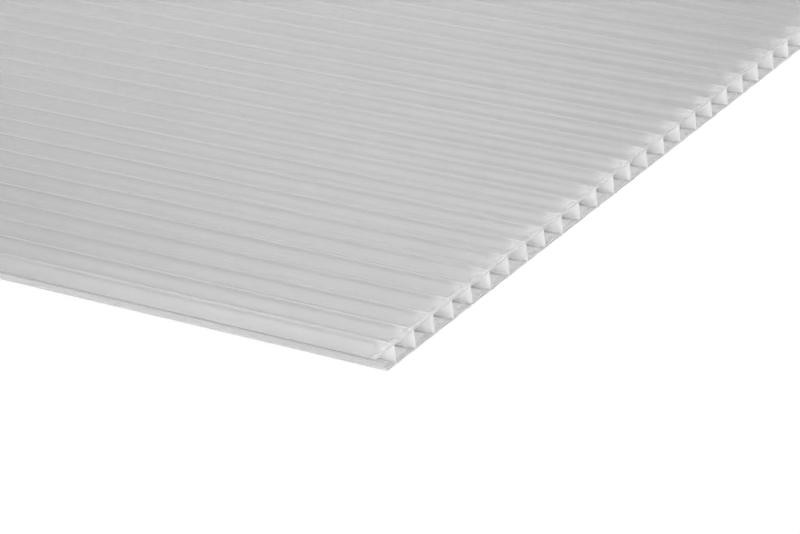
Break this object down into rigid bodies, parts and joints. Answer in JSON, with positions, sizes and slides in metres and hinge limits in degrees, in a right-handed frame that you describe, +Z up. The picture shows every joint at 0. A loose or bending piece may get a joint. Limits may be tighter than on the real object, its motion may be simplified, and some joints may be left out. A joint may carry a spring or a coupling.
{
  "type": "multiwall polycarbonate sheet",
  "caption": "Clear twin-wall polycarbonate glazing sheet: two thin skins joined by upright ribs, with a row of flutes open at both cut ends.",
  "frame": {"origin": "middle of the sheet's underside, on the level surface that it lies on", "axes": "+X across the flutes, away from the side cut with a tilted blade; +Y along the flutes; +Z up through the thickness"},
  "size_m": [0.457, 0.61, 0.004],
  "materials": {
    "polycarbonate": "clear glossy polycarbonate, slightly hazy, with matt saw-cut ends"
  },
  "bodies": {
    "root": {"sheet": "polycarbonate"}
  },
  "joints": []
}
